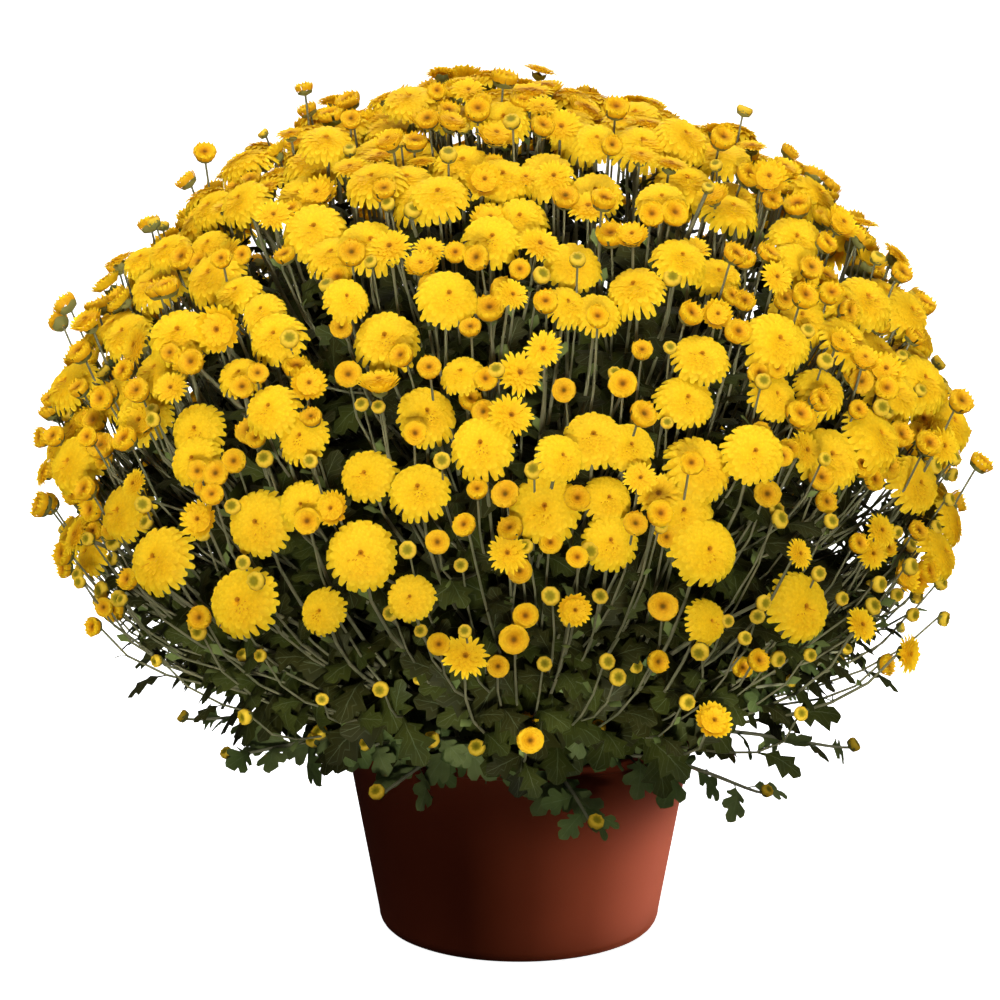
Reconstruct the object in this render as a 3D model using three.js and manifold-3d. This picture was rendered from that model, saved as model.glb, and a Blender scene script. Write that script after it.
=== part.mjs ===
// A pot chrysanthemum: a dome of double yellow blooms on branching leafy stems, rooted in potting
// mix in a round plastic mum pan. Millimetres, +Z up, the origin at the centre of the pot's base.
// The plant is a set of leafy stems, each in its own hole in the mix. Each stem forks into stalks
// that end just under the blooms of its own bunch, and the outer petals of a bunch grow together.

import * as THREE from "three";
import Module from "manifold-3d";
import { mergeVertices } from "three/addons/utils/BufferGeometryUtils.js";

const wasm = await Module();
wasm.setup();

// Driving dimensions
const POT = {
  height: 148, rimRadius: 127, lipHeight: 8, lipWidth: 3.5, wall: 2.6,
  footRadius: 90, wallFootRadius: 100, cornerHeight: 12, sides: 26,
};
const DRAIN = { count: 4, radius: 6, ringRadius: 66, sides: 6 };
const MIX = { edgeHeight: 129, crown: 5, gap: 0.4 };
const DOME = { x: -17, y: 0, z: 330, halfWidth: 319, halfHeight: 268 }; // the bloom centres lie on it
const RINGS = [ // angle from the top of the dome, number of stems, turn of the ring, distance of the roots
  { polar: 0, count: 1, turn: 0, root: 0 },
  { polar: 36, count: 6, turn: 12, root: 26 },
  { polar: 67, count: 9, turn: 30, root: 52 },
  { polar: 96, count: 11, turn: 8, root: 80 },
];
const BUNCH = { blooms: 8, spacing: 27, smallest: 27, largest: 30.5, linked: 0.88, apart: 1.22, rounds: 120 };
const BLOOM = {
  petals: [6, 6, 6, 5, 5, 5, 5, 5], notch: 0.82, tipDrop: 0.15,
  crownRadius: 0.56, crownHeight: 0.36, eyeHeight: 0.27, depth: 0.42, faceUp: 0.22,
};
const STEM = { rootDepth: 13, rootRadius: 3.6, forkRadius: 2.9, topRadius: 1.5, knot: 6, bow: 0.42 };
const KNOTS = [0.3, 0.5, 0.68]; // the leaf knot and the two forks, as shares of the way along a stem
const LOW_KNOT = 0.1; // the knot of an outer stem that its shoot leaves from
const HOLE = { radius: 5.7, depth: 14, sides: 4 };
const STALK = { radius: 1.4, gap: 0.3 };
const LEAF = { length: 56, thickness: 2.4, arch: 0.1, droop: 0.16, fold: 0.25 };
const LEAF_SIDE = [[0.16, 0.045], [0.31, 0.28], [0.46, 0.15], [0.64, 0.33], [0.76, 0.16]]; // of its length
const LEAF_RIB = [0.24, 0.58];
const SHOOT = {
  turn: 9, knee: 150, kneeLift: 22, reach: 226, height: 158, radius: 2.1, leafShares: [0, 0.42, 0.8],
};
const BUD = { radii: [2.4, 6, 5, 2], steps: [3, 4, 3.5, 3] };
const SEED = 19;

const UP = new THREE.Vector3(0, 0, 1);
const GOLDEN_ANGLE = Math.PI * (3 - Math.sqrt(5));
const THIRD = (2 * Math.PI) / 3;

// A repeatable random draw between low and high.
let state = SEED;
function draw(low, high) {
  state = (Math.imul(state, 1664525) + 1013904223) >>> 0;
  return low + ((high - low) * state) / 4294967296;
}

function along(point, direction, distance) {
  return point.clone().addScaledVector(direction, distance);
}

// ---------- solids ----------

// A closed solid from a list of points and a list of corner triples.
function solidFrom(points, triangles) {
  return new wasm.Manifold(
    new wasm.Mesh({
      numProp: 3,
      vertProperties: new Float32Array(points.flatMap((point) => point.toArray())),
      triVerts: new Uint32Array(triangles.flat()),
    }),
  );
}

// A closed three.js geometry as a solid.
function solidFromGeometry(geometry) {
  const bare = geometry.clone();
  bare.deleteAttribute("normal");
  bare.deleteAttribute("uv");
  const merged = mergeVertices(bare, 1e-3);
  return new wasm.Manifold(
    new wasm.Mesh({
      numProp: 3,
      vertProperties: new Float32Array(merged.getAttribute("position").array),
      triVerts: new Uint32Array(merged.index.array),
    }),
  );
}

// A solid as a three.js geometry with flat facets.
function geometryFrom(solid) {
  const mesh = solid.getMesh();
  const geometry = new THREE.BufferGeometry();
  geometry.setAttribute("position", new THREE.BufferAttribute(new Float32Array(mesh.vertProperties), 3));
  geometry.setIndex(new THREE.BufferAttribute(new Uint32Array(mesh.triVerts), 1));
  const flat = geometry.toNonIndexed();
  flat.computeVertexNormals();
  return flat;
}

// Two solids share space, by their boxes first and then exactly.
function meet(a, b) {
  const one = a.boundingBox();
  const two = b.boundingBox();
  for (let axis = 0; axis < 3; axis++)
    if (one.max[axis] < two.min[axis] || two.max[axis] < one.min[axis]) return false;
  return a.intersect(b).volume() > 1e-6;
}

// A profile of [radius, height] pairs, from the axis round to the axis, turned into a solid.
function turned(profile, sides) {
  const points = profile.map(([radius, height]) => new THREE.Vector2(radius, height));
  return solidFromGeometry(new THREE.LatheGeometry(points, sides).rotateX(Math.PI / 2));
}

// An upright bar with flat sides.
function bar(x, y, bottom, top, radius, sides) {
  const geometry = new THREE.CylinderGeometry(radius, radius, top - bottom, sides, 1).rotateX(Math.PI / 2);
  return solidFromGeometry(geometry.translate(x, y, 0.5 * (bottom + top)));
}

// ---------- growing green parts ----------
// A growth is a list of points and a set of facets. A stem, stalk or leaf takes the place of one facet.

// Three points round a centre, counter-clockwise about the direction of growth.
function ringPoints(centre, direction, across, radius, turn) {
  const east = along(across, direction, -across.dot(direction)).normalize();
  const north = direction.clone().cross(east);
  return [0, 1, 2].map((i) => {
    const angle = turn + THIRD * i;
    return along(along(centre, east, radius * Math.cos(angle)), north, radius * Math.sin(angle));
  });
}

// A new growth that is one facet, seen from both sides.
function seedling(ring) {
  const front = [0, 1, 2];
  return { points: ring, facets: new Set([front, [0, 2, 1]]), front };
}

function facetCentre(growth, facet) {
  return facet.reduce((sum, i) => sum.add(growth.points[i]), new THREE.Vector3()).divideScalar(3);
}

function facetNormal(growth, facet) {
  const [a, b, c] = facet.map((i) => growth.points[i]);
  return b.clone().sub(a).cross(c.clone().sub(a)).normalize();
}

// Grows a three-sided branch from a facet along a path. Each ring is turned by half a side, so that
// every part between two rings has six facets to grow from. Returns those, part by part, and the tip.
function growBranch(growth, facet, path, radii) {
  growth.facets.delete(facet);
  let lower = facet;
  let from = facetCentre(growth, facet);
  const across = growth.points[facet[0]].clone().sub(from);
  const parts = path.map((centre, step) => {
    const next = path[Math.min(step + 1, path.length - 1)];
    const direction = next.clone().sub(from).normalize();
    const first = growth.points.length;
    growth.points.push(...ringPoints(centre, direction, across, radii[step], 0.5 * THIRD * (step + 1)));
    const upper = [first, first + 1, first + 2];
    const sides = [0, 1, 2].flatMap((i) => {
      const j = (i + 1) % 3;
      return [[lower[i], lower[j], upper[i]], [upper[i], lower[j], upper[j]]];
    });
    sides.forEach((side) => growth.facets.add(side));
    lower = upper;
    from = centre;
    return sides;
  });
  growth.facets.add(lower);
  return { parts, tip: lower };
}

// The free facets that look towards a direction at least so nearly, the best first.
function facetsTowards(growth, facets, direction, least) {
  const match = (facet) => facetNormal(growth, facet).dot(direction);
  const free = facets.filter((facet) => growth.facets.has(facet) && match(facet) > least);
  return free.sort((a, b) => match(b) - match(a));
}

// Grows a lobed leaf from a facet: an arched blade with a raised rib and its two halves folded down.
function growLeaf(growth, facet, direction, length) {
  growth.facets.delete(facet);
  const root = facetCentre(growth, facet);
  const side = UP.clone().cross(direction).normalize();
  const top = direction.clone().cross(side).normalize();
  const add = (x, y, lift) => {
    const rise = LEAF.arch * Math.sin(Math.PI * x) - LEAF.droop * x * x - LEAF.fold * Math.abs(y);
    const flat = along(along(root, direction, x * length), side, y * length);
    growth.points.push(along(flat, top, rise * length + lift));
    return growth.points.length - 1;
  };
  const offset = (i) => growth.points[i].clone().sub(root).dot(side);
  const [right, middle, left] = [...facet].sort((a, b) => offset(a) - offset(b));
  const leftSide = LEAF_SIDE.map(([x, y]) => add(x, y, 0));
  const tip = add(1, 0, 0);
  const rightSide = [...LEAF_SIDE].reverse().map(([x, y]) => add(x, -y, 0));
  const middleIsBelow = facet[(facet.indexOf(left) + 1) % 3] === right;
  const rim = [left, ...leftSide, tip, ...rightSide, right];
  const [upperRim, lowerRim] = middleIsBelow ? [rim, [...rim, middle]] : [[...rim, middle], rim];
  fanLeaf(growth, upperRim, LEAF_RIB.map((x) => add(x, 0, 0.5 * LEAF.thickness)), false);
  fanLeaf(growth, lowerRim, LEAF_RIB.map((x) => add(x, 0, -0.5 * LEAF.thickness)), true);
}

// Covers one face of a leaf with facets from its rim to the two points of its rib.
function fanLeaf(growth, rim, [near, far], under) {
  const turnLeft = 2; // the rim point on each side where the near fan gives way to the far one
  const turnRight = LEAF_SIDE.length * 2 + 2 - turnLeft;
  rim.forEach((corner, i) => {
    const next = rim[(i + 1) % rim.length];
    const rib = i >= turnLeft && i < turnRight ? far : near;
    growth.facets.add(under ? [corner, next, rib] : [next, corner, rib]);
    if (i === turnLeft) growth.facets.add(under ? [corner, far, near] : [corner, near, far]);
    if (i === turnRight) growth.facets.add(under ? [corner, near, far] : [corner, far, near]);
  });
}

function solidOf(growth) {
  return solidFrom(growth.points, [...growth.facets]);
}

// ---------- the dome ----------

// The point of the dome in the direction of a point, seen from the dome's centre.
function onDome(point) {
  const x = point.x - DOME.x;
  const y = point.y - DOME.y;
  const z = point.z - DOME.z;
  const scale = 1 / Math.hypot(Math.hypot(x, y) / DOME.halfWidth, z / DOME.halfHeight);
  return new THREE.Vector3(DOME.x + x * scale, DOME.y + y * scale, DOME.z + z * scale);
}

function domeNormal(point) {
  return new THREE.Vector3(
    (point.x - DOME.x) / DOME.halfWidth ** 2,
    (point.y - DOME.y) / DOME.halfWidth ** 2,
    (point.z - DOME.z) / DOME.halfHeight ** 2,
  ).normalize();
}

// A bloom looks outward, turned a little towards the light above.
function facing(point) {
  return domeNormal(point).multiplyScalar(1 - BLOOM.faceUp).addScaledVector(UP, BLOOM.faceUp).normalize();
}

function outwardAt(azimuth) {
  const turn = THREE.MathUtils.degToRad(azimuth);
  return new THREE.Vector3(Math.cos(turn), Math.sin(turn), 0);
}

function domePoint(polar, azimuth) {
  const tilt = THREE.MathUtils.degToRad(polar);
  return outwardAt(azimuth)
    .multiplyScalar(DOME.halfWidth * Math.sin(tilt))
    .add(new THREE.Vector3(DOME.x, DOME.y, DOME.z + DOME.halfHeight * Math.cos(tilt)));
}

// ---------- layout ----------

function layStems() {
  const stems = [];
  RINGS.forEach((ring, tier) => {
    for (let i = 0; i < ring.count; i++) {
      const azimuth = ring.turn + (360 * i) / ring.count + draw(-3, 3);
      const polar = ring.polar + draw(-2, 2);
      const root = outwardAt(azimuth).multiplyScalar(ring.root).setZ(MIX.edgeHeight);
      stems.push({ tier, azimuth, polar, root, top: domePoint(polar, azimuth) });
    }
  });
  return stems;
}

// The blooms of a stem start on a spiral round its top, and each but the first hangs on to the
// nearest earlier one. All others push each other away, which spreads the blooms over the dome.
function layBlooms(stems) {
  const blooms = stems.flatMap((stem) => {
    const normal = domeNormal(stem.top);
    const east = new THREE.Vector3(normal.z, 0, -normal.x).normalize();
    const north = normal.clone().cross(east);
    const start = draw(0, 2 * Math.PI);
    stem.blooms = [];
    for (let rank = 0; rank < BUNCH.blooms; rank++) {
      const reach = BUNCH.spacing * Math.sqrt(rank + 0.5);
      const angle = start + rank * GOLDEN_ANGLE;
      const at = along(along(stem.top, east, reach * Math.cos(angle)), north, reach * Math.sin(angle));
      const nearer = (a, b) => a.at.distanceTo(at) - b.at.distanceTo(at);
      const parent = [...stem.blooms].sort(nearer)[0] ?? null;
      stem.blooms.push({ rank, parent, stem, radius: draw(BUNCH.smallest, BUNCH.largest), at: onDome(at) });
    }
    return stem.blooms;
  });
  for (let round = 0; round < BUNCH.rounds; round++) settle(blooms);
}

// One round of pulling and pushing the bloom centres over the dome.
function settle(blooms) {
  const moves = blooms.map(() => new THREE.Vector3());
  blooms.forEach((one, i) => {
    for (let j = i + 1; j < blooms.length; j++) {
      const two = blooms[j];
      const gap = two.at.clone().sub(one.at);
      const linked = one.parent === two || two.parent === one;
      const wanted = (linked ? BUNCH.linked : BUNCH.apart) * (one.radius + two.radius);
      const short = wanted - gap.length();
      if (short < 0 && !linked) continue;
      gap.normalize().multiplyScalar((linked ? 0.4 : 0.3) * short);
      moves[i].sub(gap);
      moves[j].add(gap);
    }
  });
  blooms.forEach((bloom, i) => {
    bloom.at = onDome(bloom.at.add(moves[i]));
  });
}

// ---------- blooms ----------

// A double bloom: outer petal tips with notches between them, a raised inner crown and a sunk eye.
// One of its tips points at the bloom that it hangs on to.
function bloomSolid(bloom) {
  const axis = facing(bloom.at);
  const aim = bloom.parent ? bloom.parent.at : bloom.stem.blooms[1].at;
  const east = aim.clone().sub(bloom.at);
  east.addScaledVector(axis, -east.dot(axis)).normalize();
  const north = axis.clone().cross(east);
  const petals = BLOOM.petals[bloom.rank];
  const place = (turn, out, height) => {
    const angle = (2 * Math.PI * turn) / petals;
    const spoke = along(east.clone().multiplyScalar(Math.cos(angle)), north, Math.sin(angle));
    return along(along(bloom.at, spoke, out * bloom.radius), axis, height * bloom.radius);
  };
  const points = [place(0, 0, -BLOOM.depth), place(0, 0, BLOOM.eyeHeight)];
  const triangles = [];
  for (let i = 0; i < petals; i++) {
    points.push(place(i, 1, -BLOOM.tipDrop));
    points.push(place(i + 0.5, BLOOM.notch, 0));
    points.push(place(i, BLOOM.crownRadius, BLOOM.crownHeight));
    const [tip, notch, crown] = [2 + 3 * i, 3 + 3 * i, 4 + 3 * i];
    const nextTip = 2 + 3 * ((i + 1) % petals);
    const nextCrown = nextTip + 2;
    triangles.push([tip, notch, crown], [notch, nextCrown, crown], [notch, nextTip, nextCrown]);
    triangles.push([crown, nextCrown, 1], [notch, tip, 0], [nextTip, notch, 0]);
  }
  return solidFrom(points, triangles);
}

// Moves each bloom towards its parent until their petals meet, and joins a bunch into one solid.
function bunchSolid(blooms) {
  const made = new Map();
  for (const bloom of blooms) {
    let solid = bloomSolid(bloom);
    while (bloom.parent && solid.intersect(made.get(bloom.parent)).volume() < 8) {
      bloom.at.lerp(bloom.parent.at, 0.03);
      solid = bloomSolid(bloom);
    }
    made.set(bloom, solid);
  }
  return wasm.Manifold.union([...made.values()]);
}

// The point just under a bloom where its stalk ends.
function underside(bloom) {
  return along(bloom.at, facing(bloom.at), -(BLOOM.depth * bloom.radius + STALK.gap));
}

// ---------- stems ----------

function stemCourse(stem) {
  const bow = STEM.bow * stem.root.distanceTo(stem.top) * (1 - stem.polar / 190);
  return new THREE.QuadraticBezierCurve3(stem.root, along(stem.root, UP, bow), underside(stem.blooms[0]));
}

// A stem from its foot in the mix to the bloom in the middle of its bunch, with short knots on the way.
function growStem(stem) {
  const course = stemCourse(stem);
  const foot = along(stem.root, UP, -STEM.rootDepth);
  const growth = seedling(ringPoints(foot, UP, outwardAt(stem.azimuth), STEM.rootRadius, 0));
  const path = [along(stem.root, UP, MIX.crown + 3)];
  const radii = [STEM.rootRadius];
  const outer = stem.tier === RINGS.length - 1;
  for (const share of outer ? [LOW_KNOT, ...KNOTS] : KNOTS) {
    const middle = course.getPoint(share);
    const half = course.getTangent(share).multiplyScalar(0.5 * STEM.knot);
    path.push(middle.clone().sub(half), middle.clone().add(half));
    radii.push(STEM.forkRadius + 0.2, STEM.forkRadius);
  }
  path.push(course.getPoint(1));
  radii.push(STEM.topRadius);
  const { parts } = growBranch(growth, growth.front, path, radii);
  stem.growth = growth;
  const knots = parts.filter((_, i) => i > 0 && i % 2 === 0);
  if (outer) stem.lowKnot = knots.shift();
  [stem.leafKnot, stem.fork, stem.upperFork] = knots;
}

// The stalks leave the two forks, the far ones from the lower fork. A stalk that would cross another
// part of its own stem leaves from another facet, and if none is clear it bows aside on its way.
function growStalks(stem) {
  for (const bloom of stem.blooms.slice(1)) {
    const end = underside(bloom);
    const forks = bloom.rank > 3 ? [stem.fork, stem.upperFork] : [stem.upperFork, stem.fork];
    forks.push(stem.leafKnot);
    const grown = [0, 14, -14, 28, -28].some((bow) => forks.some((fork) => growStalk(stem, fork, end, bow)));
    if (!grown) throw new Error("a bloom has no stalk");
  }
}

// Grows a stalk from a fork to its end, bowed sideways at the middle, if there is a clear way.
function growStalk(stem, fork, end, bow) {
  const direction = end.clone().sub(facetCentre(stem.growth, fork[0])).normalize();
  const sideways = direction.clone().cross(UP).normalize();
  return facetsTowards(stem.growth, fork, direction, 0.1).some((facet) => {
    const path = [end];
    if (bow) path.unshift(along(facetCentre(stem.growth, facet).lerp(end, 0.5), sideways, bow));
    const radii = path.map(() => STALK.radius);
    return growIfClear(stem, facet, [], (growth, from) => growBranch(growth, from, path, radii));
  });
}

// Grows a part from a facet of a stem if the part, a little enlarged, keeps clear of the rest of the
// stem and of the obstacles.
function growIfClear(stem, facet, obstacles, grow) {
  const trial = seedling(facet.map((i) => stem.growth.points[i].clone()));
  grow(trial, trial.front, 1.04);
  const shape = solidOf(trial);
  if ([solidOf(stem.growth), ...obstacles].some((solid) => meet(solid, shape))) return false;
  grow(stem.growth, facet, 1);
  return true;
}

// A low shoot of an outer stem leans out over the rim of the pot and ends in a bud.
function growShoot(stem) {
  const out = outwardAt(stem.azimuth + SHOOT.turn);
  const [facet] = facetsTowards(stem.growth, stem.lowKnot, out, 0);
  const knee = out.clone().multiplyScalar(SHOOT.knee).setZ(POT.height + SHOOT.kneeLift);
  const tip = out.clone().multiplyScalar(SHOOT.reach).setZ(SHOOT.height + draw(-18, 14));
  const direction = tip.clone().sub(knee).normalize();
  const path = [];
  const radii = [];
  for (const share of SHOOT.leafShares) {
    const at = knee.clone().lerp(tip, share);
    path.push(at, along(at, direction, STEM.knot));
    radii.push(SHOOT.radius, SHOOT.radius);
  }
  let end = tip;
  BUD.radii.forEach((radius, i) => {
    end = along(end, direction, BUD.steps[i]);
    path.push(end);
    radii.push(radius);
  });
  const { parts } = growBranch(stem.growth, facet, path, radii);
  stem.shoot = { out, knots: SHOOT.leafShares.map((_, i) => parts[2 * i + 1]) };
}

// ---------- leaves ----------

// Puts a leaf on a knot. Its direction turns on until it is clear of everything around it.
function leafOn(stem, knot, towards, rise, length, obstacles) {
  for (const turn of [0, 0.5, -0.5, 1, -1, 1.5, -1.5, 2.1, -2.1, 3]) {
    const direction = towards.clone().applyAxisAngle(UP, turn).addScaledVector(UP, rise).normalize();
    const [facet] = facetsTowards(stem.growth, knot, direction, 0.45);
    const grow = (growth, from, scale) => growLeaf(growth, from, direction, scale * length);
    if (facet && growIfClear(stem, facet, obstacles, grow)) return;
  }
}

function growLeaves(stem, obstacles) {
  const outward = stem.tier ? outwardAt(stem.azimuth) : outwardAt(0);
  const size = () => LEAF.length * draw(0.9, 1.15);
  leafOn(stem, stem.leafKnot, outward.clone().applyAxisAngle(UP, 1.2), 0.25, size(), obstacles);
  const behind = outward.clone().applyAxisAngle(UP, -1.6);
  if (stem.tier > 1) leafOn(stem, stem.leafKnot, behind, 0.2, size(), obstacles);
  leafOn(stem, stem.fork, outward, -0.2, size(), obstacles);
  if (!stem.shoot) return;
  stem.shoot.knots.forEach((knot, i) => {
    const sideways = i % 2 ? -0.9 : 0.9;
    leafOn(stem, knot, stem.shoot.out.clone().applyAxisAngle(UP, sideways), -0.4, size(), obstacles);
  });
}

// ---------- pot and potting mix ----------

function potSolid() {
  const { height, rimRadius, lipHeight, lipWidth, wall, sides } = POT;
  const { footRadius, wallFootRadius, cornerHeight } = POT;
  const underLip = rimRadius - lipWidth;
  const shell = turned([
    [0, 0], [footRadius, 0], [footRadius + 0.72 * (wallFootRadius - footRadius), 0.3 * cornerHeight],
    [wallFootRadius, cornerHeight], [underLip, height - lipHeight], [rimRadius, height - lipHeight + 1.5],
    [rimRadius, height], [underLip - wall + 1, height], [underLip - wall, height - lipHeight],
    [wallFootRadius - wall, cornerHeight], [footRadius - 1, wall], [0, wall],
  ], sides);
  const drains = [];
  for (let i = 0; i < DRAIN.count; i++) {
    const spot = outwardAt((360 * (i + 0.5)) / DRAIN.count).multiplyScalar(DRAIN.ringRadius);
    drains.push(bar(spot.x, spot.y, -2, wall + 2, DRAIN.radius, DRAIN.sides));
  }
  return shell.subtract(wasm.Manifold.union(drains));
}

function mixSolid(stems) {
  const { height, rimRadius, lipHeight, lipWidth, wall, sides } = POT;
  const { footRadius, wallFootRadius, cornerHeight } = POT;
  const innerTop = rimRadius - lipWidth - wall;
  const innerFoot = wallFootRadius - wall;
  const share = (MIX.edgeHeight - cornerHeight) / (height - lipHeight - cornerHeight);
  const surfaceRadius = innerFoot + share * (innerTop - innerFoot) - MIX.gap;
  const floor = wall + MIX.gap;
  const body = turned([
    [0, floor], [footRadius - 1 - 2 * MIX.gap, floor], [innerFoot - MIX.gap, cornerHeight + 0.5],
    [surfaceRadius, MIX.edgeHeight], [0, MIX.edgeHeight + MIX.crown],
  ], sides);
  const holes = stems.map(({ root }) =>
    bar(root.x, root.y, MIX.edgeHeight - HOLE.depth, MIX.edgeHeight + 20, HOLE.radius, HOLE.sides));
  return body.subtract(wasm.Manifold.union(holes));
}

// ---------- the whole plant ----------

const stems = layStems();
layBlooms(stems);
const pot = potSolid();
const mix = mixSolid(stems);
for (const stem of stems) {
  stem.bunch = bunchSolid(stem.blooms);
  growStem(stem);
  growStalks(stem);
  if (stem.lowKnot) growShoot(stem);
}
for (const stem of stems) stem.green = solidOf(stem.growth);
for (const stem of stems) {
  const neighbours = stems.filter((other) => other !== stem).map((other) => other.green);
  growLeaves(stem, [pot, mix, ...neighbours, ...stems.map((other) => other.bunch)]);
  stem.green = solidOf(stem.growth);
}

const MATERIALS = {
  pot: { color: 0x7a3420, roughness: 0.5, metalness: 0 },
  mix: { color: 0x2e2018, roughness: 0.95, metalness: 0 },
  green: { color: 0x3f5a33, roughness: 0.75, metalness: 0 },
  petal: { color: 0xf7c116, roughness: 0.65, metalness: 0 },
};

const plant = new THREE.Group();

function add(name, solid, look) {
  const mesh = new THREE.Mesh(geometryFrom(solid), new THREE.MeshStandardMaterial(look));
  mesh.name = name;
  plant.add(mesh);
}

add("pot", pot, MATERIALS.pot);
add("potting_mix", mix, MATERIALS.mix);
stems.forEach((stem, index) => {
  const label = String(index + 1).padStart(2, "0");
  add(`leafy_stem_${label}`, stem.green, MATERIALS.green);
  add(`bloom_bunch_${label}`, stem.bunch, MATERIALS.petal);
});

export default plant;
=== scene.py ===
"""The look of a potted chrysanthemum: a dome of double yellow blooms, cup-shaped half-open ones,
small orange ones and green buds, on branching grey-green stems with lobed leaves, in a plastic pot.

The stems and large blooms repeat the layout of the CAD model from the same named values. Lengths are
in millimetres until a mesh is written, and the frame's axes are the CAD model's: +Z up, front -Y.
"""

import math
from collections import namedtuple

import bmesh
import bpy
import numpy as np
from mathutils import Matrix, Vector


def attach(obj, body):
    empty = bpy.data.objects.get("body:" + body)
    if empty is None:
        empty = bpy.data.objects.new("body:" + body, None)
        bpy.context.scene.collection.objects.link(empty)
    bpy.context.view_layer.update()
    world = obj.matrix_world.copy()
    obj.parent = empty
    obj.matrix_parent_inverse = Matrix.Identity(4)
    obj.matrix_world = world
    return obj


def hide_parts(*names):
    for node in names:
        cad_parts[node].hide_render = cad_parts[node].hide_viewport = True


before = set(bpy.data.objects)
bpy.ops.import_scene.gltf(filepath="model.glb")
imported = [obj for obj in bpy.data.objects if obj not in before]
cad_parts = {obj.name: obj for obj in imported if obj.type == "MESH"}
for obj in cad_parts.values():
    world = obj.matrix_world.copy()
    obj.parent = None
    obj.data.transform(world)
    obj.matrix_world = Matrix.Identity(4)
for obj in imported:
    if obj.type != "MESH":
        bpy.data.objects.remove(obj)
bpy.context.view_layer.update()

# ---------- sizes shared with the CAD model ----------

MM = 0.001
POT_HEIGHT, RIM_RADIUS, LIP_HEIGHT, LIP_WIDTH, WALL = 148.0, 127.0, 8.0, 3.5, 2.6
FOOT_RADIUS, WALL_FOOT_RADIUS, CORNER_HEIGHT = 90.0, 100.0, 12.0
DRAIN_COUNT, DRAIN_RADIUS, DRAIN_RING = 4, 6.0, 66.0
MIX_EDGE, MIX_CROWN = 129.0, 5.0
DOME_CENTRE = np.array([-17.0, 0.0, 330.0])
DOME_HALF = np.array([319.0, 319.0, 268.0])
RINGS = [(0, 1, 0, 0), (36, 6, 12, 26), (67, 9, 30, 52), (96, 11, 8, 80)]  # polar, count, turn, root
BLOOMS_A_STEM, SPACING = 8, 27.0
SMALLEST, LARGEST = 27.0, 30.5
LINKED, APART, ROUNDS = 0.88, 1.22, 120
LINKED_PULL, APART_PULL = 0.4, 0.3
STEM_BOW, BOW_END = 0.42, 190.0
SHOOT_TURN, SHOOT_KNEE, SHOOT_KNEE_LIFT, SHOOT_REACH, SHOOT_HEIGHT = 9.0, 150.0, 22.0, 226.0, 158.0
CAD_SEED = 19
GOLDEN_ANGLE = math.pi * (3 - math.sqrt(5))
UP = np.array([0.0, 0.0, 1.0])

# ---------- sizes of the finer plant ----------

SEED = 66
LOOK = {  # radius range, how far the head stands out of the dome, tone of the petals
    "large": dict(size=(14.8, 22.6), proud=(-12, 8), tone=(0.02, 0.30)),
    "mid": dict(size=(10.0, 15.0), proud=(-12, 14), tone=(0.10, 0.34)),
    "small": dict(size=(6.6, 9.4), proud=(-12, 16), tone=(0.14, 0.56)),
    "bud": dict(size=(4.2, 6.2), proud=(-12, 14), tone=(0.82, 0.94)),
}
EXTRA = [  # kind, count, least distance as a share of the two radii, polar angles of thinning and end
    ("large", 56, 0.50, 18, 46),
    ("large", 66, 0.62, 80, 99),
    ("mid", 48, 0.48, 22, 48),
    ("mid", 90, 0.62, 70, 100),
    ("small", 420, 0.60, 80, 110),
    ("bud", 230, 0.64, 100, 120),
]
TRIES = 80  # for each of those heads
SUNK = -12.0  # the extra large heads stand deeper by this
TOP_BUDS, ALL_BUDS = 0.3, 80.0  # the share of buds kept at the top, and the polar angle where all are
LOW_CROWN = 101.0  # below this polar angle, in degrees, the CAD model's blooms become smaller heads
LOW_SHARES = {"mid": 0.16, "small": 0.34, "bud": 0.50}
MID_SHARE = 0.14  # of the blooms above it
LOWER_HALF = 232.0  # the crown narrows faster than the dome below its widest part
SLIMMER, SLIM_SPAN = 8.0, 150.0  # the lower crown stands back by this, over this height
STANDING, MORE_STANDING = 0.06, 0.10  # the share of little heads on long stalks, and more at the top
STAND_OUT = (12, 20)  # how far those stand out
DENT, DENT_SIDE, DENT_SPREAD = 16.0, (-0.78, -0.1, 0.62), 0.25  # one flank is a little flatter
SWAY, SWAY_SPAN = np.array([12.0, 0.0, 0.0]), 100.0  # the lowest heads lean to one side, over this height
HEAD_UP = 0.38  # how far the heads turn up from the dome's own direction
LIGHT_PULL, LIGHT_SPAN = 0.42, 80.0  # and towards the brighter front or back, fully at this depth
LARGE_LEAN, OTHER_LEAN = 0.14, 0.22  # how far each looks its own way

rng = np.random.default_rng(SEED)


def unit(vectors):
    vectors = np.asarray(vectors, float)
    return vectors / np.linalg.norm(vectors, axis=-1, keepdims=True)


# ---------- the CAD model's layout ----------


class Draws:
    """The CAD model's repeatable random draws."""

    def __init__(self, seed):
        self.state = seed

    def between(self, low, high):
        self.state = (self.state * 1664525 + 1013904223) % 2**32
        return low + (high - low) * self.state / 2**32


draws = Draws(CAD_SEED)


def on_dome(points):
    away = np.asarray(points, float) - DOME_CENTRE
    return DOME_CENTRE + away / np.linalg.norm(away / DOME_HALF, axis=-1, keepdims=True)


def dome_normal(points):
    return unit((np.asarray(points, float) - DOME_CENTRE) / DOME_HALF**2)


def outward(turn):
    return np.array([math.cos(turn), math.sin(turn), 0.0])


def outward_at(degrees):
    return outward(math.radians(degrees))


def dome_point(polar, azimuth, half_height=DOME_HALF[2]):
    """The point of the dome, or of one of another height, at two angles in radians."""
    level = outward(azimuth) * DOME_HALF[0] * math.sin(polar)
    return DOME_CENTRE + level + UP * half_height * math.cos(polar)


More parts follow.
